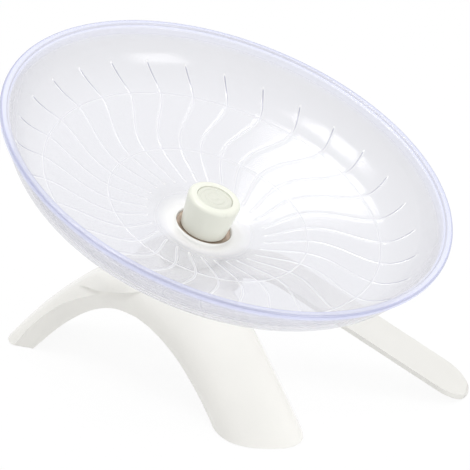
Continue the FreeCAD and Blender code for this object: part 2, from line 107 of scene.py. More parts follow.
# Edge between the top and the near side of the left leg: distance out along the leg, height and distance
# to the near side, in millimetres, and the lean of the leg's top above it
LEG_OUT = Vector((-0.936, 0.352, 0.0))
LEG_NEAR = Vector((-0.352, -0.936, 0.0))
LEG_INWARD = Vector((0.44, 0.87, 0.22))
EDGE_OUT = (96.0, 88.9, 83.9, 77.9, 70.7, 65.8, 59.7, 51.3, 41.9)
EDGE_RISE = (-3.5, 1.1, 7.9, 14.3, 20.8, 24.4, 28.2, 32.9, 38.1)
EDGE_NEAR = (10.6, 10.6, 10.5, 10.6, 11.5, 12.6, 14.4, 17.7, 22.6)
EDGE_ZONE_OUT, EDGE_ZONE_HEIGHT, EDGE_ZONE_DEPTH = (38, 99), (-6, 14), (-8, 16)
EDGE_LEAN = 0.7
EDGE_ROUND = 0.4
EDGE_REACH = 5.5
EDGE_CUTS = (-0.8, -0.4, -0.1, 0.1, 0.4, 0.8, 1.5, 3.5, 5.5, 8.0)
EDGE_BEAD = 0.3
BEAD_WIDTH = 0.8
LEAN_FROM, LEAN_BEHIND = 40, -6
LEAN_START = (42, 56)
LEAN_FADE = (4, 15)

# Meshes: points closer than these distances in metres are one, and edges over these degrees stay sharp
CAD_MERGE, LATHE_MERGE, CUT_MERGE, SECTOR_WELD = 2e-6, 1e-7, 1e-6, 2e-7
LATHE_SHARP, STAND_SHARP = 40.0, 26.0
LATHE_SEGMENTS = 144

# Stage
CAMERA_SPOT = (0.0009612, -0.86179, 0.48011)
FLOOR_RADIUS, FLOOR_DROP = 3.0, 0.0003
FLOOR_WHITE, FLOOR_SHINE = 0.95, 0.92
LAMP_SOFT_EDGE = 0.4


# Sizes and colours that a user would change

class DishSizes(bpy.types.PropertyGroup):
    """Sizes of the clear dish"""
    radius: FloatProperty(name="Radius", description="Outer radius of the dish",
                          default=0.08997, unit="LENGTH")
    wall: FloatProperty(name="Wall", description="Thickness of the clear wall", default=0.0016, unit="LENGTH")
    lip: FloatProperty(name="Lip", description="Width of the lip", default=0.0029, unit="LENGTH")
    floor_angle: FloatProperty(name="Floor angle", description="Slope of the running floor",
                               default=math.radians(13.5), subtype="ANGLE")
    wall_angle: FloatProperty(name="Wall angle", description="Slope of the side wall",
                              default=math.radians(72.0), subtype="ANGLE")
    bend: FloatProperty(name="Bend", description="Radius between floor and side wall",
                        default=0.02, unit="LENGTH")
    ribs: IntProperty(name="Grip ribs", description="Number of swung grip ribs", default=30, min=6)
    rib_height: FloatProperty(name="Rib height", description="Height of a grip rib",
                              default=0.00028, unit="LENGTH")
    ring_height: FloatProperty(name="Ring height", description="Height of a ring rib",
                               default=0.0003, unit="LENGTH")


class Finishes(bpy.types.PropertyGroup):
    """Colours of the finishes"""
    clear: FloatVectorProperty(name="Clear plastic", description="Tint of the dish wall", subtype="COLOR",
                               default=(0.68, 0.68, 0.73), min=0, max=1)
    lip: FloatVectorProperty(name="Lip tint", description="Deeper tint of the thick lip", subtype="COLOR",
                             default=(0.70, 0.73, 0.96), min=0, max=1)
    stand: FloatVectorProperty(name="Stand", description="Cream white of the stand", subtype="COLOR",
                               default=(0.86, 0.85, 0.81), min=0, max=1)
    cap: FloatVectorProperty(name="Hub cap", description="Cream white of the hub cap", subtype="COLOR",
                             default=(0.82, 0.83, 0.74), min=0, max=1)
    edge: FloatVectorProperty(name="Lip edge", description="Dark line along the lip's outer edge",
                              subtype="COLOR", default=(0.40, 0.42, 0.62), min=0, max=1)
    bronze: FloatVectorProperty(name="Bronze", description="Washer under the cap", subtype="COLOR",
                                default=(0.46, 0.37, 0.30), min=0, max=1)
    steel: FloatVectorProperty(name="Steel", description="Bolts and bearings", subtype="COLOR",
                               default=(0.62, 0.62, 0.64), min=0, max=1)
    nylon: FloatVectorProperty(name="Nylon", description="Ball cages and hub sleeve", subtype="COLOR",
                               default=(0.80, 0.77, 0.66), min=0, max=1)


class StageSettings(bpy.types.PropertyGroup):
    """Floor, lamps and camera"""
    ambient: FloatProperty(name="Ambient", description="Strength of the room light", default=0.66, min=0)
    key: FloatProperty(name="Softbox", description="Power of the softbox behind the dish",
                       default=3.2, subtype="POWER")
    fill: FloatProperty(name="Fill", description="Power of the low lamp at the front right",
                        default=7.0, subtype="POWER")
    top: FloatProperty(name="Overhead", description="Power of the wide lamp overhead",
                       default=18.0, subtype="POWER")
    lens: FloatProperty(name="Lens", description="Focal length on a 36 mm sensor", default=191.49)
    tilt: FloatProperty(name="Camera tilt", description="Camera angle from straight down",
                        default=math.radians(64.0), subtype="ANGLE")


# Node building: one class for socket maths and one method for every other node

class Flow:
    """A node socket that takes part in Python expressions"""

    def __init__(self, tree, socket):
        self.tree = tree
        self.socket = socket

    def maths(self, operation, *values):
        return node(self.tree, "ShaderNodeMath", {"operation": operation}, dict(enumerate(values)))

    def __add__(self, other):
        return self.maths("ADD", self, other)

    def __radd__(self, other):
        return self.maths("ADD", other, self)

    def __sub__(self, other):
        return self.maths("SUBTRACT", self, other)

    def __rsub__(self, other):
        return self.maths("SUBTRACT", other, self)

    def __mul__(self, other):
        return self.maths("MULTIPLY", self, other)

    def __rmul__(self, other):
        return self.maths("MULTIPLY", other, self)

    def __truediv__(self, other):
        return self.maths("DIVIDE", self, other)

    def __rtruediv__(self, other):
        return self.maths("DIVIDE", other, self)

    def __pow__(self, other):
        return self.maths("POWER", self, other)

    def __rpow__(self, other):
        return self.maths("POWER", other, self)

    def step(self, low, high):
        """0 below low, 1 above high, smooth between"""
        return node(self.tree, "ShaderNodeMapRange", {"interpolation_type": "SMOOTHSTEP"},
                    {"Value": self, "From Min": low, "From Max": high})


def node(tree, kind, settings=None, sockets=None, out=0):
    """Adds a node: its settings first, then values or links of its sockets; gives one output as a Flow"""
    made = tree.nodes.new(kind)
    for key, value in (settings or {}).items():
        setattr(made, key, value)
    for key, value in (sockets or {}).items():
        socket = made.inputs[key]
        if isinstance(value, Flow):
            tree.links.new(value.socket, socket)
        else:
            socket.default_value = value
    return Flow(tree, made.outputs[out]) if len(made.outputs) else made


def tint(tree, factor, first, second):
    """Colour mix of two colours or colour flows, through the Mix node's colour sockets"""
    first_colour, second_colour, result_colour = 6, 7, 2
    sides = {first_colour: first, second_colour: second}
    sockets = {key: value if isinstance(value, Flow) else (*value, 1.0) for key, value in sides.items()}
    return node(tree, "ShaderNodeMix", {"data_type": "RGBA"},
                {"Factor": factor, **sockets}, out=result_colour)


def shaded(colour, share):
    """A colour made darker or lighter"""
    return tuple(share * c for c in colour)


def ray(tree, kind):
    """1 for rays of a kind such as Is Camera Ray, 0 for others"""
    return node(tree, "ShaderNodeLightPath", out=kind)


def place(tree, scale=(1, 1, 1)):
    """Object coordinates in metres, scaled"""
    spot = node(tree, "ShaderNodeTexCoord", out="Object")
    return node(tree, "ShaderNodeMapping", {"vector_type": "POINT"}, {"Vector": spot, "Scale": scale})


def noise(tree, vector, scale, detail):
    return node(tree, "ShaderNodeTexNoise", None, {"Vector": vector, "Scale": scale, "Detail": detail})


def surface(name, fixed, colour, rough, bump, bump_distance, bump_strength):
    """A plastic or metal: fixed socket values, and flows for colour, roughness and bump"""
    material = bpy.data.materials.new(name)
    material.use_nodes = True
    tree = material.node_tree
    shader = next(n for n in tree.nodes if n.type == "BSDF_PRINCIPLED")
    for key, value in fixed.items():
        shader.inputs[key].default_value = value
    relief = node(tree, "ShaderNodeBump", None,
                  {"Height": bump(tree), "Distance": bump_distance, "Strength": bump_strength})
    tree.links.new(colour(tree).socket, shader.inputs["Base Color"])
    tree.links.new(rough(tree).socket, shader.inputs["Roughness"])
    tree.links.new(relief.socket, shader.inputs["Normal"])
    return material


# Finishes

def axis_radius(tree):
    """Distance from the dish axis and height over the rim plane in metres, from object coordinates"""
    spot = node(tree, "ShaderNodeTexCoord", out="Object")
    away = node(tree, "ShaderNodeVectorMath", {"operation": "SUBTRACT"}, {0: spot, 1: RIM_CENTRE})
    along = node(tree, "ShaderNodeVectorMath", {"operation": "DOT_PRODUCT"}, {0: away, 1: AXIS}, out=1)
    length = node(tree, "ShaderNodeVectorMath", {"operation": "LENGTH"}, {0: away}, out=1)
    return (length * length - along * along) ** 0.5, along


def clear_plastic(colours):
    """Thin clear plastic: sees through, glosses at a slant, denser in the lip, in the hub and on the ribs,
    with a painted white highlight round the hub and painted highlight and shade along the ribs
    """
    clear, lip_tint, edge_tint = tuple(colours.clear), tuple(colours.lip), tuple(colours.edge)
    # White here is painted highlight: round the hub and along the flanks of the ribs
    white, inner_tint = (1, 1, 1), (0.5, 0.5, 0.58)
    # Painted shade for the middle of a rib, deeper on the side wall than on the floor
    rib_shade_on_floor, rib_shade_on_wall = (0.66, 0.66, 0.72), (0.3, 0.31, 0.4)

    def bands(tree):
        radius, along = axis_radius(tree)
        crest = along.step(*CREST_BAND)
        lip = radius.step(*LIP_BAND)
        edge = radius.step(*OUTER_LINE) * crest
        inner = radius.step(*INNER_LINE_START) * (1 - radius.step(*INNER_LINE_END)) * crest
        hub = 1 - radius.step(*HUB_GLOW_BAND)
        wall = radius.step(*WALL_BAND)
        return lip, edge, inner, hub, wall

    def ribs(tree):
        return node(tree, "ShaderNodeAttribute", {"attribute_name": "rib"}, out="Fac")

    def colour(tree):
        lip, edge, inner, hub, wall = bands(tree)
        haze = noise(tree, place(tree), 18.0, 2.0)
        body = tint(tree, haze * 0.5, clear, shaded(clear, 0.97))
        body = tint(tree, wall, body, shaded(clear, 0.94))
        # Painted highlight: the band round the hub is painted white
        body = tint(tree, hub, body, white)
        rib = ribs(tree)
        # Painted highlight and shade on the ribs: white flanks and a darker middle line
        rib_shade = tint(tree, wall, rib_shade_on_floor, rib_shade_on_wall)
        line = tint(tree, rib.step(0.45, 0.85), white, rib_shade)
        marked = tint(tree, rib.step(0.1, 0.4), body, line)
        marked = tint(tree, lip, marked, lip_tint)
        marked = tint(tree, inner, marked, inner_tint)
        return tint(tree, edge, marked, edge_tint)

    def rough(tree):
        smear = noise(tree, place(tree, (1, 1, 2.5)), 40.0, 4.0)
        return smear.step(0.35, 0.8) * 0.06 + 0.09

    def waves(tree):
        return noise(tree, place(tree), 55.0, 1.0)

    material = surface("clear_plastic", {"IOR": 1.49, "Specular IOR Level": 1.0},
                       colour, rough, waves, 0.0002, 0.05)
    tree = material.node_tree
    body = next(n for n in tree.nodes if n.type == "BSDF_PRINCIPLED")
    end = next(n for n in tree.nodes if n.type == "OUTPUT_MATERIAL")
    lip, edge, inner, hub = bands(tree)[:4]
    slant = node(tree, "ShaderNodeLayerWeight", None, {"Blend": 0.5}, out="Facing") ** 3
    # Denser on the ribs, so that their painted highlight and shade show
    dense = slant * 0.5 + ribs(tree).step(0.1, 0.6) * 0.35 + 0.27
    # The hub band is made denser so that its painted highlight shows
    dense = dense + lip * 0.08 + inner * 0.15 + edge * 0.3 + hub * 0.4
    # Light on its way to other pieces passes freely, because a thin clear wall casts hardly any shadow
    passing = ray(tree, "Is Shadow Ray") + ray(tree, "Is Diffuse Ray")
    dense = dense.maths("MINIMUM", dense, 0.9) * (1 - passing)
    through = node(tree, "ShaderNodeBsdfTransparent", None, {"Color": (0.975, 0.976, 0.985, 1)})
    mixed = node(tree, "ShaderNodeMixShader", None, {0: dense, 1: through, 2: Flow(tree, body.outputs[0])})
    tree.links.new(mixed.socket, end.inputs["Surface"])
    return material


def moulded_plastic(name, base, gloss, grain, shade):
    """Opaque moulded plastic with cloudy colour, uneven gloss and a fine grain"""
    def colour(tree):
        cloud = noise(tree, place(tree), 35.0, 3.0)
        speck = noise(tree, place(tree), 900.0, 2.0)
        body = tint(tree, cloud.step(0.3, 0.75), tuple(base), shaded(base, shade))
        return tint(tree, speck.step(0.62, 0.8) * 0.25, body, shaded(base, 0.93))

    def rough(tree):
        return noise(tree, place(tree), 120.0, 4.0) * 0.14 + (gloss - 0.07)

    def fine(tree):
        return noise(tree, place(tree), grain, 3.0)

    return surface(name, {"IOR": 1.46}, colour, rough, fine, 0.00006, 0.25)


def turned_metal(name, base, gloss, stretch):
    """Steel or bronze with fine tool lines around the dish axis and dull patches"""
    def lines(tree):
        radius, along = axis_radius(tree)
        vector = node(tree, "ShaderNodeCombineXYZ", None, {0: radius * stretch, 1: along * stretch, 2: 0.0})
        return noise(tree, vector, 1.0, 2.0)

    def colour(tree):
        dull = noise(tree, place(tree), 260.0, 3.0)
        return tint(tree, dull.step(0.35, 0.7), tuple(base), shaded(base, 0.72))

    def rough(tree):
        return lines(tree) * 0.2 + (gloss - 0.1)

    return surface(name, {"Metallic": 1.0}, colour, rough, lines, 0.00003, 0.3)


# Mesh building

def rounded(corners):
    """Points along a closed chain of corners (r, z, radius, steps), each corner rounded off"""
    points = []
    count = len(corners)
    for k, (r, z, radius, steps) in enumerate(corners):
        here = Vector((r, z))
        before = Vector(corners[k - 1][:2])
        after = Vector(corners[(k + 1) % count][:2])
        if radius <= 0:
            points.append(here)
            continue
        to_before = (before - here).normalized()
        to_after = (after - here).normalized()
        half = to_before.angle(to_after) / 2
        run = radius / math.tan(half)
        middle = here + (to_before + to_after).normalized() * (radius / math.sin(half))
        start = here + to_before * run - middle
        end = here + to_after * run - middle
        sweep = start.angle_signed(end)
        for step in range(steps + 1):
            angle = -sweep * step / steps
            c, s = math.cos(angle), math.sin(angle)
            points.append(middle + Vector((start.x * c - start.y * s, start.x * s + start.y * c)))
    return points


def lathe(name, corners, material):
    """Closed turned piece on the dish axis from rounded corners in millimetres from the rim plane"""
    line = rounded(corners)
    mesh = bmesh.new()
    rings = []
    for k in range(LATHE_SEGMENTS):
        angle = 2 * math.pi * k / LATHE_SEGMENTS
        rings.append([mesh.verts.new((p.x * math.cos(angle) * MM, p.x * math.sin(angle) * MM, p.y * MM))
                      for p in line])
    for k in range(LATHE_SEGMENTS):
        a, b = rings[k], rings[(k + 1) % LATHE_SEGMENTS]
        for j in range(len(line)):
            i = (j + 1) % len(line)
            if line[j].x < 1e-6 and line[i].x < 1e-6:
                continue
            mesh.faces.new((a[j], b[j], b[i], a[i]))
    bmesh.ops.remove_doubles(mesh, verts=mesh.verts, dist=LATHE_MERGE)
    bmesh.ops.recalc_face_normals(mesh, faces=mesh.faces)
    mesh.transform(DISH_PLACE)
    return finished(name, mesh, material, LATHE_SHARP)


def finished(name, mesh, material, sharp):
    """Object at the origin from a bmesh, smooth with sharp edges kept"""
    data = bpy.data.meshes.new(name)
    mesh.to_mesh(data)
    mesh.free()
    data.materials.append(material)
    data.shade_smooth()
    data.set_sharp_from_angle(angle=math.radians(sharp))
    made = bpy.data.objects.new(name, data)
    bpy.context.scene.collection.objects.link(made)
    return made


def smoothed(name, node_name, material, change):
    """Copy of a CAD node with its loose triangles merged, changed where asked, and shaded smooth"""
    mesh = bmesh.new()
    mesh.from_mesh(frame["nodes"][node_name].data)
    bmesh.ops.remove_doubles(mesh, verts=mesh.verts, dist=CAD_MERGE)
    if change:
        change(mesh)
    return finished(name, mesh, material, STAND_SHARP)


def soft_step(value, low, high):
    """0 at low, 1 at high, smooth between"""
    share = min(1.0, max(0.0, (value - low) / (high - low)))
    return share * share * (3 - 2 * share)


def sliced(mesh, faces, point, normal):
    """Cuts faces along a plane and gives all the faces they became"""
    edges = dict.fromkeys(edge for face in faces for edge in face.edges)
    verts = dict.fromkeys(vert for face in faces for vert in face.verts)
    result = bmesh.ops.bisect_plane(mesh, geom=[*verts, *edges, *faces], dist=CUT_MERGE,
                                    plane_co=point, plane_no=normal)
    return [item for item in result["geom"] if isinstance(item, bmesh.types.BMFace)]


def leaning_top(mesh):
    """Leans the left leg's near side back above a beaded edge, so that the edge shows along the leg"""
    outs, rises, sides = (row[::-1] for row in (EDGE_OUT, EDGE_RISE, EDGE_NEAR))

    def spread(spot):
        out = spot.dot(LEG_OUT) / MM
        height = spot.z / MM - np.interp(out, outs, rises)
        depth = np.interp(out, outs, sides) - spot.dot(LEG_NEAR) / MM
        return out, height, depth

    zones = (EDGE_ZONE_OUT, EDGE_ZONE_HEIGHT, EDGE_ZONE_DEPTH)
    faces = [face for face in mesh.faces
             if all(low < value < high
                    for value, (low, high) in zip(spread(face.calc_center_median()), zones))]
    points = [LEG_OUT * (out * MM) + UP * (rise * MM) for out, rise in zip(EDGE_OUT, EDGE_RISE)]
    for point in points:
        faces = sliced(mesh, faces, point, LEG_OUT)
    for start, end in zip(points, points[1:]):
        low, high = end.dot(LEG_OUT), start.dot(LEG_OUT)
        part = [face for face in faces if low < face.calc_center_median().dot(LEG_OUT) < high]
        normal = (end - start).cross(LEG_NEAR).normalized()
        for height in EDGE_CUTS:
            part = sliced(mesh, part, start + UP * (height * MM), normal)
    bmesh.ops.triangulate(mesh, faces=[face for face in mesh.faces if len(face.verts) > 3])
    for vert in mesh.verts:
        out, height, depth = spread(vert.co)
        if out < LEAN_FROM or depth < LEAN_BEHIND or height < -BEAD_WIDTH:
            continue
        soft = max(0.0, height + EDGE_ROUND) ** 2 / (4 * EDGE_ROUND)
        climb = min(soft if height < EDGE_ROUND else height, EDGE_REACH)
        bead = max(0.0, 1 - abs(height) / BEAD_WIDTH) * EDGE_BEAD
        share = soft_step(out, *LEAN_START) * (1 - soft_step(depth, *LEAN_FADE))
        vert.co += (LEG_INWARD * (climb * EDGE_LEAN) + (LEG_NEAR + UP) * bead) * (share * MM)


def raised_ledge(mesh):
    """Lifts a low ledge along its plane on the near side of the crown, fading out past its ends and above"""
    def spread(spot):
        away = spot - LEDGE_POINT
        return away.dot(LEDGE_NORMAL), away.dot(LEDGE_RUN), away.dot(LEDGE_SIDE)

    faces = []
    for face in mesh.faces:
        rise, along, across = spread(face.calc_center_median())
        if abs(rise) < LEDGE_ZONE_RISE and abs(along) < LEDGE_ZONE_ALONG and across < LEDGE_ZONE_ACROSS:
            faces.append(face)
    for height in LEDGE_CUTS:
        faces = sliced(mesh, faces, LEDGE_POINT + LEDGE_NORMAL * height, LEDGE_NORMAL)
    mesh.normal_update()
    lifts = []
    for vert in mesh.verts:
        rise, along, across = spread(vert.co)
        over = soft_step(rise, *LEDGE_STEP)
        crest = over * (1 - soft_step(rise, *LEDGE_CREST_END))
        hollow = soft_step(rise, *LEDGE_HOLLOW_START) * (1 - over)
        ends = soft_step(along, *LEDGE_LEFT_END) * (1 - soft_step(along, *LEDGE_RIGHT_END))
        near = 1 - soft_step(across, *LEDGE_FAR_END)
        height = LEDGE_HEIGHT * (crest - LEDGE_HOLLOW_DEPTH * hollow) * ends * near
        lifts.append((vert, vert.normal.copy() * height))
    for vert, lift in lifts:
        vert.co += lift


def shaped_arch(mesh):
    """Gives the arch its ledge and the edge of its left leg"""
    raised_ledge(mesh)
    leaning_top(mesh)


def rib_angle(radius):
    """Swing of a grip rib at a radius in millimetres, as a smooth curve through its stations, in radians"""
    at, swing = np.array(RIB_STATIONS), np.array(RIB_SWING)
    count = len(at)
    gap = np.diff(at)
    matrix = np.eye(count)
    right = np.zeros(count)
    for k in range(1, count - 1):
        matrix[k, k - 1:k + 2] = gap[k - 1], 2 * (gap[k - 1] + gap[k]), gap[k]
        right[k] = 6 * ((swing[k + 1] - swing[k]) / gap[k] - (swing[k] - swing[k - 1]) / gap[k - 1])
    bend = np.linalg.solve(matrix, right)
    r = min(max(radius, at[0]), at[-1])
    k = min(int(np.searchsorted(at, r, side="right")) - 1, count - 2)
    a, b = (at[k + 1] - r) / gap[k], (r - at[k]) / gap[k]
    value = (a * swing[k] + b * swing[k + 1]
             + ((a ** 3 - a) * bend[k] + (b ** 3 - b) * bend[k + 1]) * gap[k] ** 2 / 6)
    return math.radians(value)


def crossing(p, angle_p, q, angle_q):
    """Meeting point of two lines given by a point and a slope angle"""
    u = Vector((math.cos(angle_p), math.sin(angle_p)))
    v = Vector((math.cos(angle_q), math.sin(angle_q)))
    d = q - p
    k = (d.x * v.y - d.y * v.x) / (u.x * v.y - u.y * v.x)
    return p + u * k


def dish_line(sizes):
    """Closed rounded outline of the dish wall, as (radius, height) in millimetres from the rim plane"""
    radius, wall, lip = sizes.radius / MM, sizes.wall / MM, sizes.lip / MM
    fa, wa, bend = sizes.floor_angle, sizes.wall_angle, sizes.bend / MM
    flat, step, deep = -32.4, -1.1, -2.2
    bore, recess, recess_floor = 8.55, 11.2, flat - 1.6
    boss, boss_end = 15.0, -35.0
    inner_foot = Vector((17.0, flat))
    inner_top = Vector((radius - lip - 1.0, step))
    outer_foot = inner_foot + Vector((math.sin(fa), -math.cos(fa))) * wall
    outer_top = inner_top + Vector((math.sin(wa), -math.cos(wa))) * wall
    outer_end = crossing(outer_top, wa, Vector((0, deep)), 0.0)
    inner_bend = crossing(inner_foot, fa, inner_top, wa)
    outer_bend = crossing(outer_foot, fa, outer_top, wa)
    outer_flat = crossing(outer_foot, fa, Vector((0, flat - wall)), 0.0)
    corners = [
        (bore, recess_floor, 0.2, 2), (recess, recess_floor, 0.2, 3), (recess, flat, 0.5, 5),
        (inner_foot.x, inner_foot.y, 28.0, 10), (inner_bend.x, inner_bend.y, bend, 30),
        (inner_top.x, inner_top.y, 0.5, 4), (radius - lip, step, 0.35, 4), (radius - lip, 0.0, 0.7, 6),
        (radius, 0.0, 0.9, 8), (radius, deep, 0.6, 6), (outer_end.x, outer_end.y, 0.5, 4),
        (outer_bend.x, outer_bend.y, bend + wall, 16), (outer_flat.x, outer_flat.y, 14.0, 3),
        (boss, flat - wall, 0.4, 3), (boss, boss_end, 0.3, 3), (bore, boss_end, 0.2, 2),
    ]
    return rounded(corners)


def dish_rows(sizes):
    """Rows of the dish outline: (radius, height, share of rib height, share of ring height)"""
    line = dish_line(sizes)
    fine_gap, plain_gap, wide_gap, end_gap = 1.5, 3.0, 6.0, 0.25
    fine_run, wide_run, floor_run = 4, 8, 20
    rows = []
    count = len(line)
    top = max(range(count), key=lambda k: line[k].y)
    for k in range(count):
        p, q = line[k], line[(k + 1) % count]
        length = (q - p).length
        inner = k < top
        spacing = fine_gap if inner and length > fine_run else (wide_gap if length > wide_run else plain_gap)
        steps = max(1, round(length / spacing))
        stops = [j / steps for j in range(steps)]
        if inner and length > floor_run:
            slope = q.x - p.x
            for ring in RING_RADII:
                stops = [t for t in stops if abs(p.x + t * slope - ring) > 2 * RING_HALF_WIDTH]
                stops += [(ring + w - p.x) / slope for w in RING_ACROSS]
            stops.sort()
        elif length > fine_gap:
            stops = sorted(set(stops + [end_gap / length, 1 - end_gap / length]))
        for t in stops:
            spot = p.lerp(q, t)
            rise = min(1.0, max(0.0, (spot.x - RIB_START) / RIB_TAPER))
            taper = rise * min(1.0, max(0.0, (RIB_END - spot.x) / RIB_TAPER))
            near = min(abs(spot.x - ring) for ring in RING_RADII)
            hump = max(0.0, 1.0 - (near / RING_HALF_WIDTH) ** 2) ** 2
            rows.append((spot.x, spot.y, taper if inner else 0.0, hump if inner else 0.0))
    return rows


def dish_sector(sizes):
    """One sector of the dish with its grip rib along the middle, around the upright axis at the origin"""
    rows = dish_rows(sizes)
    half = math.pi / sizes.ribs
    mesh = bmesh.new()
    mark = mesh.verts.layers.float.new("rib")
    grid = []
    count = len(rows)
    for k, (r, z, rib, ring) in enumerate(rows):
        before, after = rows[k - 1], rows[(k + 1) % count]
        along = Vector((after[0] - before[0], after[1] - before[1])).normalized()
        normal = Vector((-along.y, along.x))
        swing = rib_angle(r)
        lean = r * (rib_angle(r + 0.5) - rib_angle(r - 0.5))
        widen = math.sqrt(1 + lean * lean)
        scale = min(1.0, r / RIB_STATIONS[0])
        angles = [(w * scale * widen / r, max(0.0, 1 - (w / RIB_HALF_WIDTH) ** 2) ** 2) for w in RIB_ACROSS]
        first, last = angles[0][0], angles[-1][0]
        edge = [(-half + (first + half) * t, 0.0) for t in BETWEEN_BEFORE]
        edge_after = [(last + (half - last) * t, 0.0) for t in BETWEEN_AFTER]
        line = []
        for offset, hump in edge + angles + edge_after:
            lift = max(rib * hump * sizes.rib_height, ring * sizes.ring_height)
            rr = r * MM + normal.x * lift
            zz = z * MM + normal.y * lift
            a = swing + offset
            vert = mesh.verts.new((rr * math.cos(a), rr * math.sin(a), zz))
            vert[mark] = max(rib * hump, ring)
            line.append(vert)
        grid.append(line)
    for k in range(count):
        a, b = grid[k], grid[(k + 1) % count]
        for j in range(len(a) - 1):
            mesh.faces.new((a[j], a[j + 1], b[j + 1], b[j]))
    data = bpy.data.meshes.new("dish_sector")
    mesh.to_mesh(data)
    mesh.free()
    return data


def round_array():
    """Geometry node tree: copies a sector round the upright axis, welds it and moves it onto the dish axis"""
    tree = bpy.data.node_groups.new("round_array", "GeometryNodeTree")
    face = tree.interface
    face.new_socket("Sector", in_out="INPUT", socket_type="NodeSocketGeometry")
    face.new_socket("Count", in_out="INPUT", socket_type="NodeSocketInt")
    face.new_socket("Phase", in_out="INPUT", socket_type="NodeSocketFloat")
    face.new_socket("Weld", in_out="INPUT", socket_type="NodeSocketFloat")
    face.new_socket("Centre", in_out="INPUT", socket_type="NodeSocketVector")
    face.new_socket("Tilt", in_out="INPUT", socket_type="NodeSocketVector")
    face.new_socket("Finish", in_out="INPUT", socket_type="NodeSocketMaterial")
    face.new_socket("Dish", in_out="OUTPUT", socket_type="NodeSocketGeometry")
    entry = node(tree, "NodeGroupInput").socket.node
    given = {s.name: Flow(tree, s) for s in entry.outputs if s.name}
    spots = node(tree, "GeometryNodePoints", None, {"Count": given["Count"]})
    index = node(tree, "GeometryNodeInputIndex")
    angle = index * (2 * math.pi) / given["Count"] + given["Phase"]
    euler = node(tree, "ShaderNodeCombineXYZ", None, {"Z": angle})
    turn = node(tree, "FunctionNodeEulerToRotation", None, {0: euler})
    copies = node(tree, "GeometryNodeInstanceOnPoints", None,
                  {"Points": spots, "Instance": given["Sector"], "Rotation": turn})
    real = node(tree, "GeometryNodeRealizeInstances", None, {"Geometry": copies})
    joined = node(tree, "GeometryNodeMergeByDistance", None, {"Geometry": real, "Distance": given["Weld"]})
    lean = node(tree, "FunctionNodeEulerToRotation", None, {0: given["Tilt"]})
    moved = node(tree, "GeometryNodeTransform", None,
                 {"Geometry": joined, "Translation": given["Centre"], "Rotation": lean})
    smooth = node(tree, "GeometryNodeSetShadeSmooth", None, {0: moved})
    coated = node(tree, "GeometryNodeSetMaterial", None, {"Geometry": smooth, "Material": given["Finish"]})
    node(tree, "NodeGroupOutput", None, {"Dish": coated})
    return tree


def apply_tree(made, tree, values):
    """Runs a node tree on an object with named inputs and keeps the result as a plain mesh"""
    modifier = made.modifiers.new(tree.name, "NODES")
    modifier.node_group = tree
    for item in tree.interface.items_tree:
        if item.item_type == "SOCKET" and item.in_out == "INPUT" and item.name in values:
            modifier[item.identifier] = values[item.name]
    made.update_tag()
    bpy.context.view_layer.update()
    graph = bpy.context.evaluated_depsgraph_get()
    result = bpy.data.meshes.new_from_object(made.evaluated_get(graph), depsgraph=graph)
    made.modifiers.remove(modifier)
    old = made.data
    made.data = result
    bpy.data.meshes.remove(old)
    if len(result.polygons) == 0:
        raise RuntimeError("the node tree made no faces for " + made.name)


def outward(data):
    """Turns all faces outwards"""
    mesh = bmesh.new()
    mesh.from_mesh(data)
    bmesh.ops.recalc_face_normals(mesh, faces=mesh.faces)
    mesh.to_mesh(data)
    mesh.free()


# Operators

class RD_OT_dish(bpy.types.Operator):
    """Builds the clear dish with its lip, ring ribs and swung grip ribs"""
    bl_idname = "running_dish.dish"
    bl_label = "Clear dish"

    def execute(self, context):
        sizes = context.scene.rd_dish
        material = clear_plastic(context.scene.rd_finish)
        made = bpy.data.objects.new("clear_dish", dish_sector(sizes))
        context.scene.collection.objects.link(made)
        apply_tree(made, round_array(), {
            "Count": sizes.ribs, "Phase": RIB_PHASE, "Weld": SECTOR_WELD,
            "Centre": tuple(RIM_CENTRE), "Tilt": tuple(TURN.to_euler()), "Finish": material})
        outward(made.data)
        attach(made, "dish")
        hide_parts("saucer")
        return {"FINISHED"}


class RD_OT_hub(bpy.types.Operator):
    """Builds the hub cap, its inset and the washer under it"""
    bl_idname = "running_dish.hub"
    bl_label = "Hub cap"

    def execute(self, context):
        colours = context.scene.rd_finish
        cream = moulded_plastic("cap_cream", colours.cap, 0.3, 700.0, 0.97)
        # The inset is darker than the cap: partly its own grey, partly painted shade of its sunk well
        inset = moulded_plastic("cap_inset", shaded(colours.cap, 0.86), 0.42, 1600.0, 0.94)
        bronze = turned_metal("bronze", colours.bronze, 0.45, 1200.0)
        foot, top, sunk, roof = -33.5, -18.9, -20.0, -20.64
        inside, well = 8.35, 7.1
        shell = [(inside, foot, 0.15, 2), (9.15, foot, 0.25, 4), (10.7, top, 1.5, 12), (well, top, 0.3, 4),
                 (well, sunk, 0.12, 2), (0.0, sunk, 0, 0), (0.0, roof, 0, 0), (inside, roof, 0.3, 3)]
        disc_edge, disc_low, disc_high, ridge_slope = 6.95, -19.25, -19.05, 0.15
        disc = [(0.0, sunk, 0, 0), (disc_edge, sunk, 0.1, 2), (disc_edge, disc_low, 0.2, 3)]
        for outer, inner in ((6.1, 5.3), (3.9, 3.1)):
            disc += [(outer + ridge_slope, disc_low, 0.1, 2), (outer, disc_high, 0.1, 2),
                     (inner, disc_high, 0.1, 2), (inner - ridge_slope, disc_low, 0.1, 2)]
        disc += [(1.5, disc_low, 0.2, 2), (1.2, disc_high, 0.2, 2), (0.0, disc_high, 0, 0)]
        hole, rim, under = 8.6, 11.0, -34.0
        ring = [(hole, under, 0.1, 2), (rim, under, 0.12, 3), (rim, foot, 0.2, 3), (hole, foot, 0.1, 2)]
        for name, corners, material, source, slot in (
                ("cap_shell", shell, cream, "hub_cap", "cap_plastic"),
                ("cap_inset", disc, inset, "cap_disc", "disc_plastic"),
                ("seat_ring", ring, bronze, "seat_washer", "bronze")):
            made = lathe(name, corners, material)
            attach(made, "dish")
            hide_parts(source)
        return {"FINISHED"}


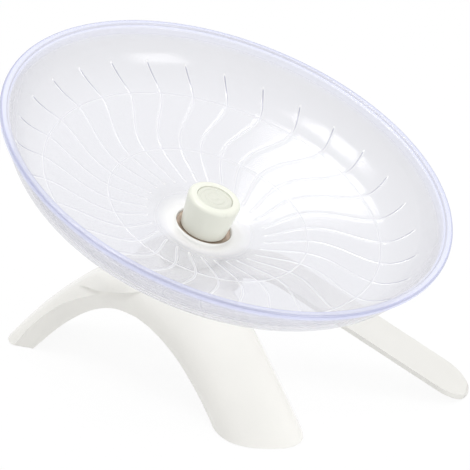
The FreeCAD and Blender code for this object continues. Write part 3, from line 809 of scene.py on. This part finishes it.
class RD_OT_stand(bpy.types.Operator):
    """Builds the arch of the stand and its flat third leg"""
    bl_idname = "running_dish.stand"
    bl_label = "Stand"

    def execute(self, context):
        stand = context.scene.rd_finish.stand
        cream = moulded_plastic("stand_cream", stand, 0.24, 850.0, 0.97)
        # The flat leg takes the stand's cream made darker, as painted shade: its upward faces catch more of
        # the lamps
        cream_painted_darker = moulded_plastic("flat_leg_cream_painted_shade", shaded(stand, 0.9), 0.38, 1100.0, 0.97)
        for name, source, material, change in (("arch_shell", "stand_arch", cream, shaped_arch),
                                               ("flat_leg", "strip_leg", cream_painted_darker, None)):
            made = smoothed(name, source, material, change)
            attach(made, "stand")
            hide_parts(source)
        return {"FINISHED"}


class RD_OT_hardware(bpy.types.Operator):
    """Finishes the bearings, the axle and the screws"""
    bl_idname = "running_dish.hardware"
    bl_label = "Bearings and fasteners"

    def execute(self, context):
        colours = context.scene.rd_finish
        steel = turned_metal("zinc_steel", colours.steel, 0.34, 900.0)
        race = turned_metal("bearing_steel", shaded(colours.steel, 1.1), 0.22, 1600.0)
        ball = turned_metal("ball_steel", shaded(colours.steel, 1.2), 0.14, 300.0)
        nylon = moulded_plastic("nylon", colours.nylon, 0.5, 1200.0, 0.95)
        finishes = {"hub_sleeve": nylon}
        for side in ("upper", "lower"):
            finishes.update({side + "_outer_race": race, side + "_inner_race": race, side + "_balls": ball,
                             side + "_cage": nylon, side + "_shields": race, side + "_washer": steel})
        for name in ("bearing_spacer", "axle_bolt", "axle_nut", "leg_screws"):
            finishes[name] = steel
        for name, material in finishes.items():
            data = frame["nodes"][name].data
            data.materials.clear()
            data.materials.append(material)
        return {"FINISHED"}


class RD_OT_stage(bpy.types.Operator):
    """Floor, room light, lamps and camera"""
    bl_idname = "running_dish.stage"
    bl_label = "Stage"

    def execute(self, context):
        stage = context.scene.rd_stage
        scene = context.scene
        scene.view_settings.view_transform = "Standard"
        world = bpy.data.worlds.new("studio")
        scene.world = world
        world.use_nodes = True
        tree = world.node_tree
        tree.nodes.clear()
        seen = direct_sight(tree)
        strength = seen * (1 - stage.ambient) + stage.ambient
        glow = node(tree, "ShaderNodeBackground", None, {"Color": (1, 1, 1, 1), "Strength": strength})
        node(tree, "ShaderNodeOutputWorld", None, {"Surface": glow})
        self.floor(scene)
        self.lamp("softbox", (0.3, 0.6, 1.03), (0.0, 0.0, 0.06), 0.36, 0.34, stage.key)
        self.lamp("fill", (0.9, -0.62, 0.42), (0.0, 0.0, 0.04), 0.8, 0.6, stage.fill)
        self.lamp("overhead", (-0.15, -0.08, 1.33), (0.0, 0.0, 0.04), 0.9, 0.9, stage.top)
        data = bpy.data.cameras.new("camera")
        data.lens = stage.lens
        data.sensor_width = 36.0
        data.clip_start, data.clip_end = 0.05, 20.0
        camera = bpy.data.objects.new("camera", data)
        camera.location = CAMERA_SPOT
        camera.rotation_euler = (stage.tilt, 0.0, 0.0)
        scene.collection.objects.link(camera)
        scene.camera = camera
        return {"FINISHED"}

    def floor(self, scene):
        mesh = bmesh.new()
        bmesh.ops.create_circle(mesh, cap_ends=True, radius=FLOOR_RADIUS, segments=96)
        data = bpy.data.meshes.new("floor")
        mesh.to_mesh(data)
        mesh.free()
        data.transform(Matrix.Translation((0, 0, -FLOOR_DROP)))
        material = bpy.data.materials.new("floor_white")
        material.use_nodes = True
        tree = material.node_tree
        tree.nodes.clear()
        white = (FLOOR_WHITE, FLOOR_WHITE, FLOOR_WHITE, 1)
        matte = node(tree, "ShaderNodeBsdfDiffuse", None, {"Color": white})
        shine = node(tree, "ShaderNodeEmission", None, {"Color": (1, 1, 1, 1), "Strength": 1.0})
        share = direct_sight(tree) * FLOOR_SHINE
        mixed = node(tree, "ShaderNodeMixShader", None, {0: share, 1: matte, 2: shine})
        node(tree, "ShaderNodeOutputMaterial", None, {"Surface": mixed})
        data.materials.append(material)
        floor = bpy.data.objects.new("floor", data)
        scene.collection.objects.link(floor)

    def lamp(self, name, spot, aim, width, height, power):
        data = bpy.data.lights.new(name, "AREA")
        data.shape = "RECTANGLE"
        data.size, data.size_y = width, height
        data.energy = power
        data.use_nodes = True
        tree = data.node_tree
        tree.nodes.clear()
        spread = node(tree, "ShaderNodeNewGeometry", out="Parametric")
        sides = node(tree, "ShaderNodeSeparateXYZ", None, {0: spread}).socket.node
        across, upward = (Flow(tree, sides.outputs[k]) for k in (0, 1))
        fades = [side.step(0.0, LAMP_SOFT_EDGE) for side in (across, 1 - across, upward, 1 - upward)]
        soft = fades[0] * fades[1] * fades[2] * fades[3]
        glow = node(tree, "ShaderNodeEmission", None, {"Color": soft, "Strength": 1.0})
        node(tree, "ShaderNodeOutputLight", None, {"Surface": glow})
        lamp = bpy.data.objects.new(name, data)
        lamp.location = spot
        lamp.rotation_euler = (Vector(aim) - Vector(spot)).to_track_quat("-Z", "Y").to_euler()
        bpy.context.scene.collection.objects.link(lamp)


def direct_sight(tree):
    """1 for camera, mirror and see-through rays, 0 for the light that falls on the object"""
    total = ray(tree, "Is Camera Ray") + ray(tree, "Is Glossy Ray") + ray(tree, "Is Transmission Ray")
    return total.maths("MINIMUM", total, 1.0)


class RD_PT_panel(bpy.types.Panel):
    """Sidebar panel of the running dish"""
    bl_label = "Running Dish"
    bl_idname = "RD_PT_panel"
    bl_space_type = "VIEW_3D"
    bl_region_type = "UI"
    bl_category = "Running Dish"

    def draw(self, context):
        layout = self.layout
        for operator in OPERATORS:
            layout.operator(operator.bl_idname)
        for group in (context.scene.rd_dish, context.scene.rd_finish, context.scene.rd_stage):
            for key in group.__annotations__:
                layout.prop(group, key)


OPERATORS = (RD_OT_dish, RD_OT_hub, RD_OT_stand, RD_OT_hardware, RD_OT_stage)
CLASSES = (DishSizes, Finishes, StageSettings, *OPERATORS, RD_PT_panel)


def register():
    for cls in CLASSES:
        bpy.utils.register_class(cls)
    bpy.types.Scene.rd_dish = PointerProperty(type=DishSizes)
    bpy.types.Scene.rd_finish = PointerProperty(type=Finishes)
    bpy.types.Scene.rd_stage = PointerProperty(type=StageSettings)


def unregister():
    del bpy.types.Scene.rd_dish
    del bpy.types.Scene.rd_finish
    del bpy.types.Scene.rd_stage
    for cls in reversed(CLASSES):
        bpy.utils.unregister_class(cls)


def main():
    register()
    bpy.ops.running_dish.dish()
    bpy.ops.running_dish.hub()
    bpy.ops.running_dish.stand()
    bpy.ops.running_dish.hardware()
    bpy.ops.running_dish.stage()


if __name__ == "__main__":
    main()
